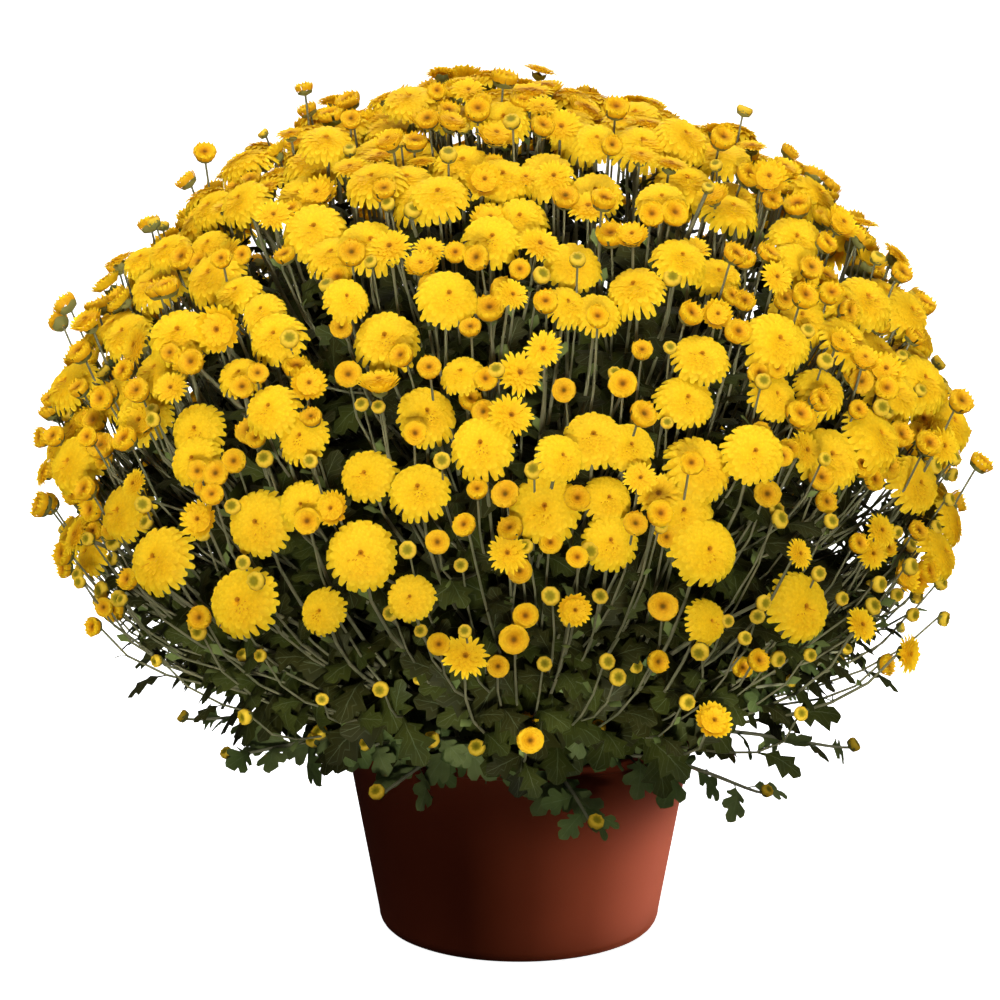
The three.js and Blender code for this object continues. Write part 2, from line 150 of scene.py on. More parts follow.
def lay_stems():
    stems = []
    for tier, (ring_polar, count, turn, root_ring) in enumerate(RINGS):
        for i in range(count):
            azimuth = turn + 360 * i / count + draws.between(-3, 3)
            polar = ring_polar + draws.between(-2, 2)
            root = outward_at(azimuth) * root_ring + UP * MIX_EDGE
            top = dome_point(math.radians(polar), math.radians(azimuth))
            stems.append(dict(tier=tier, azimuth=azimuth, polar=polar, root=root, top=top))
    return stems


def lay_blooms(stems):
    """The centres, radii, stems and parents of the CAD model's blooms."""
    at, radius, stem_of, parent_of = [], [], [], []
    for index, stem in enumerate(stems):
        normal = dome_normal(stem["top"])
        east = unit([normal[2], 0, -normal[0]])
        north = np.cross(normal, east)
        start = draws.between(0, 2 * math.pi)
        first = len(at)
        for rank in range(BLOOMS_A_STEM):
            reach = SPACING * math.sqrt(rank + 0.5)
            angle = start + rank * GOLDEN_ANGLE
            spot = stem["top"] + reach * (math.cos(angle) * east + math.sin(angle) * north)
            gaps = [np.linalg.norm(at[i] - spot) for i in range(first, len(at))]
            parent_of.append(first + int(np.argmin(gaps)) if gaps else -1)
            radius.append(draws.between(SMALLEST, LARGEST))
            at.append(on_dome(spot))
            stem_of.append(index)
    return np.array(at), np.array(radius), np.array(stem_of), np.array(parent_of)


def settled(at, radius, parent_of):
    """Pulls linked blooms together and pushes the others apart over the dome."""
    count = len(at)
    linked = np.zeros((count, count), bool)
    children = np.flatnonzero(parent_of >= 0)
    linked[children, parent_of[children]] = True
    linked |= linked.T
    wanted = np.where(linked, LINKED, APART) * (radius[:, None] + radius[None])
    pull = np.where(linked, LINKED_PULL, APART_PULL)
    for _ in range(ROUNDS):
        gap = at[None] - at[:, None]
        far = np.linalg.norm(gap, axis=2)
        np.fill_diagonal(far, 1.0)
        short = wanted - far
        short[(short < 0) & ~linked] = 0
        np.fill_diagonal(short, 0.0)
        moves = -(gap / far[..., None] * (pull * short)[..., None]).sum(1)
        at = on_dome(at + moves)
    return at


# ---------- small tools ----------


def new_object(name, data):
    thing = bpy.data.objects.new(name, data)
    bpy.context.scene.collection.objects.link(thing)
    return thing


class Piece:
    """Collects points, triangles and pattern coordinates for one mesh, or for a template."""

    def __init__(self):
        self.points, self.faces, self.patterns, self.count = [], [], [], 0

    def add(self, points, faces, patterns):
        """Adds the points of one shape, or of many that have the same triangles and points."""
        patterns = np.broadcast_to(patterns, points.shape[:-1] + (2,))
        end = self.count + points.size // 3
        starts = np.arange(self.count, end, faces.max() + 1)
        self.points.append(points.reshape(-1, 3))
        self.faces.append((faces + starts[:, None, None]).reshape(-1, 3))
        self.patterns.append(patterns.reshape(-1, 2))
        self.count = end

    def arrays(self):
        return tuple(np.concatenate(parts) for parts in (self.points, self.faces, self.patterns))

    def make(self, name, material, slot, nodes):
        mesh = bpy.data.meshes.new(name)
        points, faces, patterns = self.arrays()
        mesh.vertices.add(len(points))
        mesh.vertices.foreach_set("co", (points * MM).astype(np.float32).ravel())
        mesh.loops.add(faces.size)
        mesh.loops.foreach_set("vertex_index", faces.astype(np.int32).ravel())
        mesh.polygons.add(len(faces))
        mesh.polygons.foreach_set("loop_start", np.arange(0, faces.size, 3, dtype=np.int32))
        mesh.polygons.foreach_set("use_smooth", np.ones(len(faces), bool))
        layer = mesh.uv_layers.new(name="OFBake")
        layer.uv.foreach_set("vector", patterns[faces.ravel()].astype(np.float32).ravel())
        mesh.update(calc_edges=True)
        mesh.validate()
        mesh.materials.append(material)
        thing = new_object(name, mesh)
        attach(thing, "root")
        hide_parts(*nodes)


def grid_faces(rows, columns, closed=False):
    """Triangles of a grid of points, whose rows join up at their ends if closed."""
    down, along = np.meshgrid(np.arange(rows - 1), np.arange(columns - (not closed)), indexing="ij")
    a = down * columns + along
    b = down * columns + (along + 1) % columns
    c, d = a + columns, b + columns
    return np.stack([a, b, d, a, d, c], -1).reshape(-1, 3)


def pairs(first, second):
    return np.stack(np.broadcast_arrays(first, second), -1).astype(float)


def around(turn, out, sideways, height):
    """Points turned about the axis, from their places beside the X axis."""
    c, s = np.cos(turn), np.sin(turn)
    return np.stack([out * c - sideways * s, out * s + sideways * c, height], -1)


def turned(profile, sides, wobble=(0, 0)):
    """A profile of (radius, height, pattern) rows turned about the axis.
    wobble changes the radii and heights of every other side, a pair of numbers a row."""
    profile = np.array(profile, float)
    rows = len(profile)
    angle = 2 * math.pi * np.arange(sides) / sides
    swing = np.where(np.arange(sides) % 2, 1.0, -1.0)
    wobble = np.broadcast_to(wobble, (rows, 2))
    radius = profile[:, :1] + wobble[:, :1] * swing
    height = profile[:, 1:2] + wobble[:, 1:2] * swing
    spread = np.abs(np.linspace(-1, 1, sides))
    patterns = pairs(profile[:, 2:3], spread)
    points = around(angle, radius, 0.0, height)
    return points.reshape(-1, 3), grid_faces(rows, sides, True), patterns.reshape(-1, 2)


def frames_for(axes, roll):
    """Rotations whose third column is each axis, turned about it by roll."""
    helper = np.where(np.abs(axes[:, 2:3]) > 0.9, np.array([[1.0, 0, 0]]), np.array([[0, 0, 1.0]]))
    east = unit(np.cross(helper, axes))
    north = np.cross(axes, east)
    c, s = np.cos(roll)[:, None], np.sin(roll)[:, None]
    return np.stack([c * east + s * north, c * north - s * east, axes], -1)


def add_copies(piece, template, rotations, centres, scales, offsets, stretch):
    """Adds a copy of a template for each centre, with one scale or one for each of its axes. The
    pattern's two numbers are multiplied by stretch and moved by the copy's offsets."""
    points, faces, patterns = template
    placed = np.einsum("nij,nvj->nvi", rotations, points * scales[:, None]) + centres[:, None]
    piece.add(placed, faces, patterns * stretch + offsets[:, None])


def add_toned(piece, template, rotations, centres, scales, tones, tone_step=0.02):
    """Adds copies whose second pattern number is about their tone, and varies by tone_step."""
    offsets = pairs(0.0, tones)
    add_copies(piece, template, rotations, centres, scales, offsets, (1.0, tone_step))


def bezier(a, b, c, d, t):
    """Points of cubic curves. a to d are (n, 3), or (3,) for one, and t is (m,). The result is (n, m, 3)."""
    a, b, c, d = (np.atleast_2d(point)[:, None] for point in (a, b, c, d))
    t = t[:, None]
    s = 1 - t
    return s**3 * a + 3 * s * s * t * b + 3 * s * t * t * c + t**3 * d


def add_tubes(piece, paths, radii, sides, tile):
    """Adds a tube along each path of points, with a radius for each point."""
    count, steps = paths.shape[:2]
    tangent = unit(np.gradient(paths, axis=1))
    reach = unit(paths[:, -1] - paths[:, 0])
    side = np.cross(reach, UP)
    side[np.linalg.norm(side, axis=1) < 0.2] = (1.0, 0.0, 0.0)
    east = unit(side[:, None] - (side[:, None] * tangent).sum(-1, keepdims=True) * tangent)
    north = np.cross(tangent, east)
    angle = 2 * math.pi * np.arange(sides) / sides
    ring = np.cos(angle)[:, None] * east[:, :, None] + np.sin(angle)[:, None] * north[:, :, None]
    points = paths[:, :, None] + ring * np.broadcast_to(radii, (count, steps))[:, :, None, None]
    along = (tile + 0.05 + 0.9 * np.linspace(0, 1, steps)) / TILES
    across = 0.5 + 0.4 * np.linspace(-1, 1, sides)
    piece.add(points, grid_faces(steps, sides, True), pairs(along[:, None], across))


# ---------- flower heads: templates of radius 1 that look along +Z ----------

PETAL_ROWS = np.array([0.42, 0.78, 1.0])  # the share of a petal's length at each row; its base is hidden
SHADE_AND_WARMTH_FALL = 0.6  # how the painted shade and warm colour at a petal's root fade towards its tip
ROUND, POINTED, FRINGED = np.array([  # its width at each row
    (0.86, 1.00, 0.62),
    (0.95, 1.00, 0.55),
    (0.86, 1.04, 0.40),
])


def warmth(root_warmth_and_shade, tip_warmth_and_shade, steps):
    """How warm and dark the colour is at shares of the way from a petal's root to its tip: the
    warmer, darker colour towards the root is painted shade where the petals overlap.
    """
    root_warmth_and_shade, tip_warmth_and_shade = np.reshape(root_warmth_and_shade, (-1, 1)), np.reshape(tip_warmth_and_shade, (-1, 1))
    return tip_warmth_and_shade + (root_warmth_and_shade - tip_warmth_and_shade) * (1 - steps) ** SHADE_AND_WARMTH_FALL


def petal_block(spread, turn, base, bend, tip, half_width, cup, point, root_warmth_and_shade, tip_warmth_and_shade):
    """Petals as strips of three points a row, with a number for each or one for all. turn is round
    the head; base, bend and tip are the (radius, height) pairs of the middle line; cup is the lift of
    the edges; and point is how far the middle of the tip stands out."""
    count, rows = len(turn), len(PETAL_ROWS)
    t = PETAL_ROWS[:, None]
    base, bend, tip = (np.reshape(place, (-1, 1, 2)) for place in (base, bend, tip))
    line = (1 - t) ** 2 * base + 2 * t * (1 - t) * bend + t * t * tip
    slope = unit(np.gradient(line, axis=1) + 1e-9)
    lift = np.stack([-slope[..., 1], slope[..., 0]], -1)
    across = np.array([-1.0, 0.0, 1.0])
    width = half_width * spread
    raised = (np.reshape(cup, (-1, 1)) * width)[..., None] * np.abs(across)
    ahead = np.zeros((count, rows, 3))
    ahead[:, -1, 1] = point
    flat = line[:, :, None] + raised[..., None] * lift[:, :, None] + ahead[..., None] * slope[:, :, None]
    points = around(turn[:, None, None], flat[..., 0], width[:, None] * across, flat[..., 1])
    # the pattern's first number: warm colour and painted shade, darkest at the petal's root
    patterns = pairs(warmth(root_warmth_and_shade, tip_warmth_and_shade, PETAL_ROWS)[..., None], across)
    return points, grid_faces(rows, 3)[:, ::-1], patterns


def scale_block(turn, inner, outer, half_width, root_warmth_and_shade, tip_warmth_and_shade):
    """Short petals as flat scales of five points. inner and outer are the (radius, height) pairs of
    their two ends."""
    steps = np.array([0.0, 0.0, 0.62, 0.62, 1.0])
    side = np.array([-0.8, 0.8, -1.0, 1.0, 0.0])
    line = inner[:, None] + (outer - inner)[:, None] * steps[:, None]
    points = around(turn[:, None], line[..., 0], half_width[:, None] * side, line[..., 1])
    faces = np.array([[0, 2, 3], [0, 3, 1], [2, 4, 3]])
    return points, faces, pairs(warmth(root_warmth_and_shade, tip_warmth_and_shade, steps), side)


def joined(*parts):
    piece = Piece()
    for part in parts:
        piece.add(*part)
    return piece.arrays()


def whorls(counts, jitter):
    """The whorl of each petal, and its turn round the head, whorl by whorl from the outermost."""
    whorl = np.concatenate([np.full(n, i) for i, n in enumerate(counts)])
    share = np.concatenate([(np.arange(n) + 0.5 * (i % 2)) / n for i, n in enumerate(counts)])
    return whorl, 2 * math.pi * share + rng.normal(0, jitter, len(share))


def dome_height(out):
    """The height of a full bloom's surface at a share of its radius."""
    return 0.42 * (1 - np.abs(out) ** 2.5) - 0.12 * out**8


EYE = 0.075  # the radius of the dark middle of a full bloom
LARGE_SCALES, MID_SCALES = 144, 44  # short inner petals of a full bloom and of a half-open one


def large_head():
    """A full double bloom: a regular rim of petals in three whorls, then petals laid like shingles
    over a dome, and a small sunk eye. The petals of its lower half, at -Y, lie looser and carry
    more painted shade at their roots, and some of them are narrow flecks of painted shade."""
    whorl, turn = whorls((24, 23, 22), 0.045)
    count = len(turn)
    out = np.array([1.0, 0.94, 0.85])[whorl] * rng.normal(1, 0.028, count)
    lift = np.array([-0.10, 0.0, 0.07])[whorl]
    rim = petal_block(
        ROUND, turn,
        base=(0.34, 0.06),
        bend=pairs(0.70 * out, dome_height(0.70 * out) + 0.02),
        tip=pairs(out, dome_height(out) + lift + rng.normal(0, 0.012, count)),
        half_width=0.112,
        cup=rng.uniform(0.15, 0.40, count),
        point=rng.uniform(0.03, 0.055, count),
        root_warmth_and_shade=0.58,
        tip_warmth_and_shade=rng.uniform(0, 0.05, count),
    )
    k = np.arange(LARGE_SCALES)
    out = 0.84 * np.sqrt(1 - 0.965 * k / LARGE_SCALES)
    reach = 0.15 + 0.07 * out
    turn = k * GOLDEN_ANGLE + rng.normal(0, 0.05, LARGE_SCALES)
    # the lower half, at -Y, gets looser petals and more painted shade at their roots, as if lit from above
    low = np.clip(-np.sin(turn), 0, 1) * (out > 0.16)
    # flecks: narrow petals coloured dark as painted shade in the gaps below the eye
    shade_fleck = (rng.random(LARGE_SCALES) < 0.30 * low) & (out < 0.5)
    loose = rng.normal(0, 0.012 + 0.022 * low)
    start = np.maximum(out - reach * np.where(shade_fleck, 0.6, 1.0), EYE)
    inner = scale_block(
        turn=turn,
        inner=pairs(start, dome_height(out - reach) - 0.015 - 0.03 * low),
        outer=pairs(out, dome_height(out) + 0.04 + 0.02 * low + loose),
        half_width=(0.046 + 0.032 * out) * np.where(shade_fleck, 0.4, 1.0),
        root_warmth_and_shade=0.30 + 0.2 * np.exp(-((out / 0.22) ** 2)) + 0.24 * low + 0.20 * shade_fleck,
        tip_warmth_and_shade=0.03 + 0.22 * np.exp(-((out / 0.24) ** 2)) + 0.04 * low + 0.56 * shade_fleck,
    )
    ledge = [(r, dome_height(r) - 0.02, 0.22) for r in (0.86, 0.54, 0.20)]
    eye = turned(ledge + [(EYE, 0.35, 0.8), (0.0, 0.27, 1.0)], 12)
    return joined(rim, inner, eye)


def mid_head(open_wide):
    """A half-open bloom: radiating petals round a dark eye, spread wide or standing like a cup."""
    whorl, turn = whorls((21, 19), 0.05)
    count = len(turn)
    out = np.array([1.0, 0.86])[whorl] * rng.normal(1, 0.045, count)
    rise, bulge, bend, half_width = (0.04, 0, 0.16, 0.096) if open_wide else (0.30, 0.14, -0.02, 0.13)
    rim = petal_block(
        POINTED, turn,
        base=(0.16, -0.40),
        bend=pairs(0.62 * out + bulge, bend),
        tip=pairs(out, rise + 0.10 * whorl + rng.normal(0, 0.025, count)),
        half_width=half_width,
        cup=rng.uniform(0.2, 0.5, count),
        point=0.07,
        root_warmth_and_shade=0.56,
        tip_warmth_and_shade=rng.uniform(0, 0.06, count),
    )
    k = np.arange(MID_SCALES)
    out = 0.76 * np.sqrt(1 - 0.92 * k / MID_SCALES)
    top = rise + 0.13 + 0.12 * (1 - out**2)
    near_eye = np.exp(-((out / 0.34) ** 2))
    inner = scale_block(
        turn=k * GOLDEN_ANGLE + rng.normal(0, 0.06, MID_SCALES),
        inner=pairs(np.maximum(out - 0.24, 0.13), top - 0.09),
        outer=pairs(out, top - 0.10 * near_eye + rng.normal(0, 0.02, MID_SCALES)),
        half_width=0.070 + 0.03 * out,
        root_warmth_and_shade=0.46 + 0.3 * near_eye,
        tip_warmth_and_shade=0.06 + 0.35 * near_eye,
    )
    pit = np.array([(0.70, -0.04, 0.42), (0.40, 0.10, 0.5), (0.15, 0.12, 0.85), (0.0, 0.03, 1.0)])
    return joined(rim, inner, turned(pit + (0, rise, 0), 11))


def small_head():
    """A barely open bloom like a goblet: petals that bulge and close inwards at a scalloped rim, and
    whorls of short tips that fill it round a soft dark eye."""
    whorl, turn = whorls((15, 14, 11, 8), 0.05)
    outer = whorl == 0
    count = int(outer.sum())
    lean = 0.04 * np.cos(turn - rng.uniform(0, 2 * math.pi))
    wall = petal_block(
        FRINGED, turn[outer],
        base=(0.40, -0.78),
        bend=pairs(1.24, rng.normal(-0.26, 0.03, count)),
        tip=pairs(0.97 + rng.normal(0, 0.04, count), rng.normal(0.38, 0.04, count) + lean[outer]),
        half_width=0.215,
        cup=0.30,
        point=rng.uniform(0.15, 0.27, count),
        root_warmth_and_shade=0.90,
        tip_warmth_and_shade=0.16,
    )
    wobble = rng.normal(0, 0.025, (~outer).sum())
    low, low_height, tip, height, half_width, root_warmth_and_shade, tip_warmth_and_shade = np.array([  # one row a whorl
        (0.52, 0.24, 0.77, 0.42, 0.15, 0.54, 0.16),
        (0.36, 0.24, 0.60, 0.41, 0.14, 0.60, 0.28),
        (0.18, 0.18, 0.42, 0.35, 0.14, 0.84, 0.42),
    ])[whorl[~outer] - 1].T
    inner = scale_block(
        turn=turn[~outer],
        inner=pairs(low, low_height),
        outer=pairs(tip + wobble, height + wobble + lean[~outer]),
        half_width=half_width,
        root_warmth_and_shade=root_warmth_and_shade,
        tip_warmth_and_shade=tip_warmth_and_shade,
    )
    dish = [(1.01, 0.20, 0.20), (0.70, 0.33, 0.42), (0.36, 0.23, 0.52), (0.18, 0.16, 0.92), (0.0, 0.08, 1.0)]
    return joined(wall, inner, turned(dish, count))


def bud_head():
    """A closed bud: yellow petal tips in a ring round a green button."""
    rows = np.array([  # radius, height, pattern, and the wobble of the first two
        (0.60, -0.74, 0.40, 0.00, 0.00),
        (0.92, -0.38, 0.25, 0.02, 0.00),
        (1.00, 0.04, 0.10, 0.03, 0.00),
        (0.86, 0.38, 0.00, 0.04, 0.03),
        (0.62, 0.46, 0.22, 0.05, 0.03),
        (0.36, 0.36, 0.85, 0.03, 0.00),
        (0.00, 0.42, 1.00, 0.00, 0.00),
    ])
    return turned(rows[:, :3], 16, rows[:, 3:])


# ---------- green templates ----------

TILES = 8  # the pattern's strips: four leaf tones, stems, cups, bracts, and low shoots, whose strip is a stem colour lightened as painted light
STEM_TILE, CUP_TILE, BRACT_TILE, SHOOT_TILE = 4, 5, 6, 7
PAINTED_SHADE_TILES, SKIRT_PAINTED_LIGHT_TILES = (0, 2), (2, 4)  # the first strip of each set of leaf tones, and its end: the dark set is painted shade on the leaves inside the crown, and the skirt set is lightened as painted light


def cup_template(radius, bottom, top, sides=10):
    """The green cup under a head, with pointed bracts round its edge."""
    rows = [
        (0.16, bottom - 0.06, 0.10),
        (0.84 * radius, bottom + 0.26 * (top - bottom), 0.45),
        (1.03 * radius, top, 0.95),
    ]
    swing = [(0, 0), (0, 0), (0.02, 0.22 * (top - bottom))]
    points, faces, patterns = turned(rows, sides, swing)
    tiled = np.stack([(CUP_TILE + patterns[:, 0]) / TILES, patterns[:, 1]], 1)
    return points, faces, tiled


LEAF_OUTLINE = np.array([  # along, half width, forward lean of the edge
    (0.00, 0.022, 0.00), (0.10, 0.020, 0.00), (0.20, 0.045, 0.00), (0.27, 0.15, 0.03),
    (0.33, 0.265, 0.04), (0.39, 0.255, 0.07), (0.435, 0.135, 0.03), (0.49, 0.165, 0.02),
    (0.56, 0.315, 0.06), (0.64, 0.335, 0.08), (0.71, 0.265, 0.09), (0.735, 0.145, 0.04),
    (0.80, 0.155, 0.03), (0.88, 0.165, 0.02), (0.95, 0.115, 0.00), (1.00, 0.030, 0.00),
])
LEAF_ROWS = {"fine": range(16), "coarse": [0, 2, 4, 6, 9, 11, 13, 15], "bract": [0, 3, 8, 12, 15]}
LEAF_WAVES = 19.0  # how fast the edge of a leaf ripples along its length


def leaf_template(form, droop, fold, wave):
    """A lobed leaf of length 1 along +X whose upper face looks along +Z."""
    outline = LEAF_OUTLINE[LEAF_ROWS[form]]
    across = np.array([-1.0, -0.5, 0.0, 0.5, 1.0] if form == "fine" else [-1.0, 0.0, 1.0])
    along, width, lean = outline.T[:, :, None]
    x = along + lean * np.abs(across) ** 1.5
    y = width * across
    arch = 0.10 * np.sin(math.pi * x) - droop * x**2
    ripple = wave * np.sin(LEAF_WAVES * x + 2.0 * np.sign(across)) * np.abs(across)
    rib = 0.012 * (across == 0) * (1 - x)
    z = arch - fold * np.abs(y) + 0.35 * np.abs(y) ** 2 + ripple + rib
    points = np.stack([x, y, z], -1).reshape(-1, 3)
    patterns = pairs(np.clip(x, 0, 1), across)
    return points, grid_faces(len(outline), len(across))[:, ::-1], patterns.reshape(-1, 2)


def add_leaves(piece, template, roots, directions, normals, lengths, tiles):
    """Adds a leaf at each root. tiles picks its tone."""
    x = unit(directions)
    y = unit(np.cross(normals, x))
    rotations = np.stack([x, y, np.cross(x, y)], -1)
    offsets = pairs((tiles + 0.02) / TILES, 0.5)
    add_copies(piece, template, rotations, roots, lengths[:, None], offsets, (0.96 / TILES, 0.45))


# ---------- layout of the finer plant ----------


def polar_degrees(point):
    away = (point - DOME_CENTRE) / DOME_HALF
    return math.degrees(math.acos(np.clip(away[2] / np.linalg.norm(away), -1, 1)))


def kind_of_bloom(at):
    """What a CAD bloom becomes: mostly a large head, but a small one low on the crown."""
    degrees = polar_degrees(at)
    if degrees > LOW_CROWN:
        return str(rng.choice(list(LOW_SHARES), p=list(LOW_SHARES.values())))
    return "large" if rng.random() > MID_SHARE else "mid"


def lay_heads(bloom_at, bloom_stem):
    """All flower heads: the CAD model's blooms, then smaller ones in the room between them."""
    kinds = [kind_of_bloom(at) for at in bloom_at]
    spots = list(bloom_at)
    radii = [rng.uniform(*LOOK[kind]["size"]) for kind in kinds]
    sunk = [0.0] * len(kinds)
    for kind, count, least, thinning, end in EXTRA:
        placed = 0
        for _ in range(TRIES * count):
            polar = math.acos(rng.uniform(math.cos(math.radians(end)), 1))
            azimuth = rng.uniform(0, 2 * math.pi)
            if rng.random() < (math.degrees(polar) - thinning) / (end - thinning):
                continue
            kept = TOP_BUDS + (1 - TOP_BUDS) * min(1.0, math.degrees(polar) / ALL_BUDS)
            if kind == "bud" and rng.random() > kept:
                continue
            spot = dome_point(polar, azimuth, LOWER_HALF if polar > math.pi / 2 else DOME_HALF[2])
            radius = rng.uniform(*LOOK[kind]["size"])
            far = np.linalg.norm(np.array(spots) - spot, axis=1)
            if np.any(far < least * (np.array(radii) + radius)):
                continue
            kinds.append(kind)
            spots.append(spot)
            radii.append(radius)
            sunk.append(SUNK if kind == "large" else 0.0)
            placed += 1
            if placed == count:
                break
    spots = np.array(spots)
    far = np.linalg.norm(spots[:, None] - bloom_at[None], axis=2)
    stem = bloom_stem[np.argmin(far, axis=1)]
    return np.array(kinds), spots, np.array(radii), stem, np.array(sunk)


def stand_heads(kinds, spots, sunk):
    """The final centres and axes of the heads: some stand out, and each looks its own way."""
    proud = sunk - SLIMMER * np.clip((DOME_CENTRE[2] + SLIM_SPAN - spots[:, 2]) / SLIM_SPAN, 0, 1)
    for kind, look in LOOK.items():
        own = kinds == kind
        proud[own] += rng.uniform(*look["proud"], own.sum())
    lean = np.where(kinds == "large", LARGE_LEAN, OTHER_LEAN)[:, None]
    normals = dome_normal(spots)
    little = (kinds == "small") | (kinds == "bud")
    standing_share = STANDING + MORE_STANDING * normals[:, 2].clip(0, 1) ** 3
    standing = little & (rng.random(len(kinds)) < standing_share)
    proud += standing * rng.uniform(*STAND_OUT, len(kinds))
    proud -= DENT * np.exp(-((1 - normals @ unit(DENT_SIDE)) / DENT_SPREAD))
    to_light = np.zeros(spots.shape)
    behind = np.where(spots[:, 1] > 0, 1 - normals[:, 2] ** 2, 1.0)
    to_light[:, 1] = LIGHT_PULL * np.clip(spots[:, 1] / LIGHT_SPAN, -1, 1) * behind
    facing = unit(normals * (1 - HEAD_UP) + UP * HEAD_UP)
    axes = unit(facing + to_light + rng.normal(0, 1, spots.shape) * lean)
    sway = np.clip((DOME_CENTRE[2] - spots[:, 2]) / SWAY_SPAN, 0, 1)[:, None] * SWAY
    return spots + normals * proud[:, None] + sway, axes


def stem_curve(stem, end):
    """Control points of a main stem, the CAD model's quadratic curve raised to a cubic."""
    root = stem["root"]
    bow = STEM_BOW * np.linalg.norm(root - stem["top"]) * (1 - stem["polar"] / BOW_END)
    middle = root + UP * bow
    return root, root + (middle - root) * 2 / 3, end + (middle - end) * 2 / 3, end


# ---------- materials ----------


class Look:
    """A material, or the world, in the making: its nodes, and its Principled shader if it has one."""

    def __init__(self, owner):
        owner.use_nodes = True
        self.owner = owner
        self.nodes = owner.node_tree.nodes
        self.shader = self.nodes.get("Principled BSDF")

    def fill(self, node, settings):
        """Gives each named or numbered socket of a node a link or a value of its own."""
        for socket, value in settings.items():
            if isinstance(value, bpy.types.NodeSocket):
                self.owner.node_tree.links.new(value, node.inputs[socket])
            else:
                node.inputs[socket].default_value = value

    def node(self, kind, settings, **traits):
        node = self.nodes.new("ShaderNode" + kind)
        for trait, value in traits.items():
            setattr(node, trait, value)
        self.fill(node, settings)
        return node

    def ramp(self, share, stops, interpolation="EASE"):
        node = self.node("ValToRGB", {"Fac": share})
        node.color_ramp.interpolation = interpolation
        elements = node.color_ramp.elements
        while len(elements) < len(stops):
            elements.new(0.5)
        for element, (position, colour) in zip(elements, stops):
            element.position = position
            element.color = colour
        return node.outputs[0]

    def mixed(self, share, a, b, kind="MIX"):
        return self.node("Mix", {0: share, 6: a, 7: b}, data_type="RGBA", blend_type=kind).outputs[2]

    def number(self, operation, *values):
        return self.node("Math", dict(enumerate(values)), operation=operation).outputs[0]

    def rescaled(self, value, low, high, start=0.0, end=1.0, kind="LINEAR"):
        """A number that goes from low to high while the value goes from start to end."""
        limits = {"Value": value, "From Min": start, "From Max": end, "To Min": low, "To Max": high}
        return self.node("MapRange", limits, interpolation_type=kind).outputs[0]

    def place(self, kind="Object"):
        return self.node("TexCoord", {}).outputs[kind]

    def noise(self, scale, detail=2.0):
        settings = {"Scale": scale, "Detail": detail, "Vector": self.place()}
        return self.node("TexNoise", settings).outputs["Fac"]

    def pattern_numbers(self):
        """The two pattern coordinates as numbers."""
        pattern = self.node("UVMap", {}, uv_map="OFBake").outputs["UV"]
        return self.node("SeparateXYZ", {0: pattern}).outputs[:2]

    def finish(self, colour, patches, roughness, relief, specular):
        """Sets the shader. patches spread the roughness over its range, and relief is the height,
        strength and distance of the bump."""
        height, strength, distance = relief
        raised = self.node("Bump", {"Height": height, "Strength": strength, "Distance": distance})
        self.fill(self.shader, {
            "Base Color": colour,
            "Roughness": self.rescaled(patches, *roughness),
            "Normal": raised.outputs["Normal"],
            "Specular IOR Level": specular,
        })
        return self.owner


def new_look(name):
    return Look(bpy.data.materials.new(name))


def srgb(red, green, blue):
    """A linear colour from the usual 0 to 255 numbers."""
    parts = [c / 255 for c in (red, green, blue)]
    return [c / 12.92 if c <= 0.04045 else ((c + 0.055) / 1.055) ** 2.4 for c in parts] + [1.0]


def painted(stops):
    """Ramp stops from positions and colours in the usual numbers."""
    return [(position, srgb(*colour)) for position, *colour in stops]


PETAL_COLOURS = [  # from the tip of a petal to its root and the eye, for bright blooms, deep ones and green buds: the darker, warmer colours towards a petal's root are painted shade between the petals, and at the eye and a bud's green button they are their own colour
    [(0.0, 246, 213, 37), (0.3, 239, 198, 25), (0.6, 228, 170, 15), (0.85, 198, 126, 8), (1.0, 132, 80, 6)],
    [(0.0, 241, 206, 41), (0.3, 234, 188, 30), (0.6, 219, 163, 20), (0.85, 178, 122, 12), (1.0, 104, 80, 8)],
    [(0.0, 240, 204, 58), (0.3, 212, 178, 40), (0.6, 166, 146, 24), (1.0, 138, 126, 20)],
]
PETAL_SHADE = [(0.3, (0.90, 0.88, 0.86, 1)), (0.7, (1, 1, 1, 1))]
DEEPEST, GREEN_FROM = 0.70, 0.77  # tones of the deepest blooms and of the first buds
LIGHT_THROUGH = 0.32  # the share of light that a petal lets through


def petal_material():
    look = new_look("petals")
    # the first pattern number runs from a petal's bright tip to its root, where it is painted shade, and to
    # the eye
    shade_and_warmth, tone = look.pattern_numbers()
    bright, deep, green = (look.ramp(shade_and_warmth, painted(stops)) for stops in PETAL_COLOURS)
    share = look.rescaled(tone, 0.0, 1.0, 0.05, DEEPEST, "SMOOTHSTEP")
    warm = look.mixed(share, bright, deep)
    colour = look.mixed(look.number("GREATER_THAN", tone, GREEN_FROM), warm, green)
    fine = look.noise(420.0)
    colour = look.mixed(1.0, colour, look.ramp(fine, PETAL_SHADE), "MULTIPLY")
    look.finish(colour, fine, (0.5, 0.72), (fine, 0.25, 0.0006), 0.12)
    through = look.node("BsdfTranslucent", {"Color": colour}).outputs[0]
    both = look.node("MixShader", {0: LIGHT_THROUGH, 1: look.shader.outputs[0], 2: through})
    look.fill(look.nodes["Material Output"], {"Surface": both.outputs[0]})
    return look.owner


